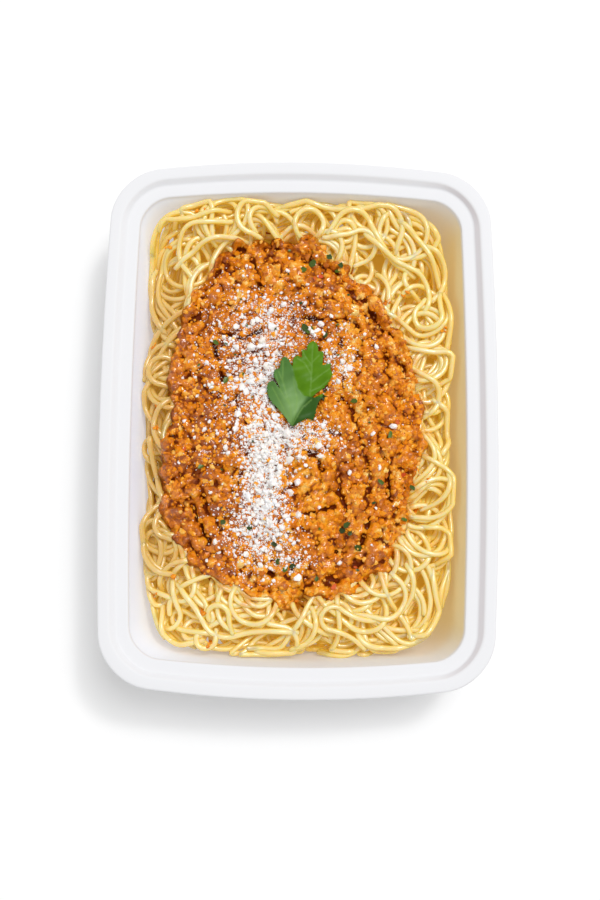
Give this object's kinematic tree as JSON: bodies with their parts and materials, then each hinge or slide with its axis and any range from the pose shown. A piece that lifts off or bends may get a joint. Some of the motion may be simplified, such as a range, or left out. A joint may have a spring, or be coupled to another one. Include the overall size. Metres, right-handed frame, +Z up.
{
  "type": "spaghetti bolognese in a takeaway tray",
  "caption": "Spaghetti topped with an oval heap of mince sauce, grated cheese and a parsley leaf, in a white rectangular plastic takeaway tray with a stepped rim.",
  "frame": {"origin": "middle of the tray's flat underside", "axes": "+Z up, +Y along the tray towards its far end, +X across it to the right"},
  "size_m": [0.1634, 0.222, 0.048],
  "materials": {
    "tray_plastic": "satin white moulded plastic",
    "spaghetti": "moist cooked pasta",
    "sauce": "moist mince sauce with grated cheese and herb flecks",
    "leaf": "fresh green leaf"
  },
  "bodies": {
    "root": {"tray": "tray_plastic", "spaghetti": "spaghetti", "sauce": "sauce", "parsley_leaf": "leaf"}
  },
  "joints": []
}
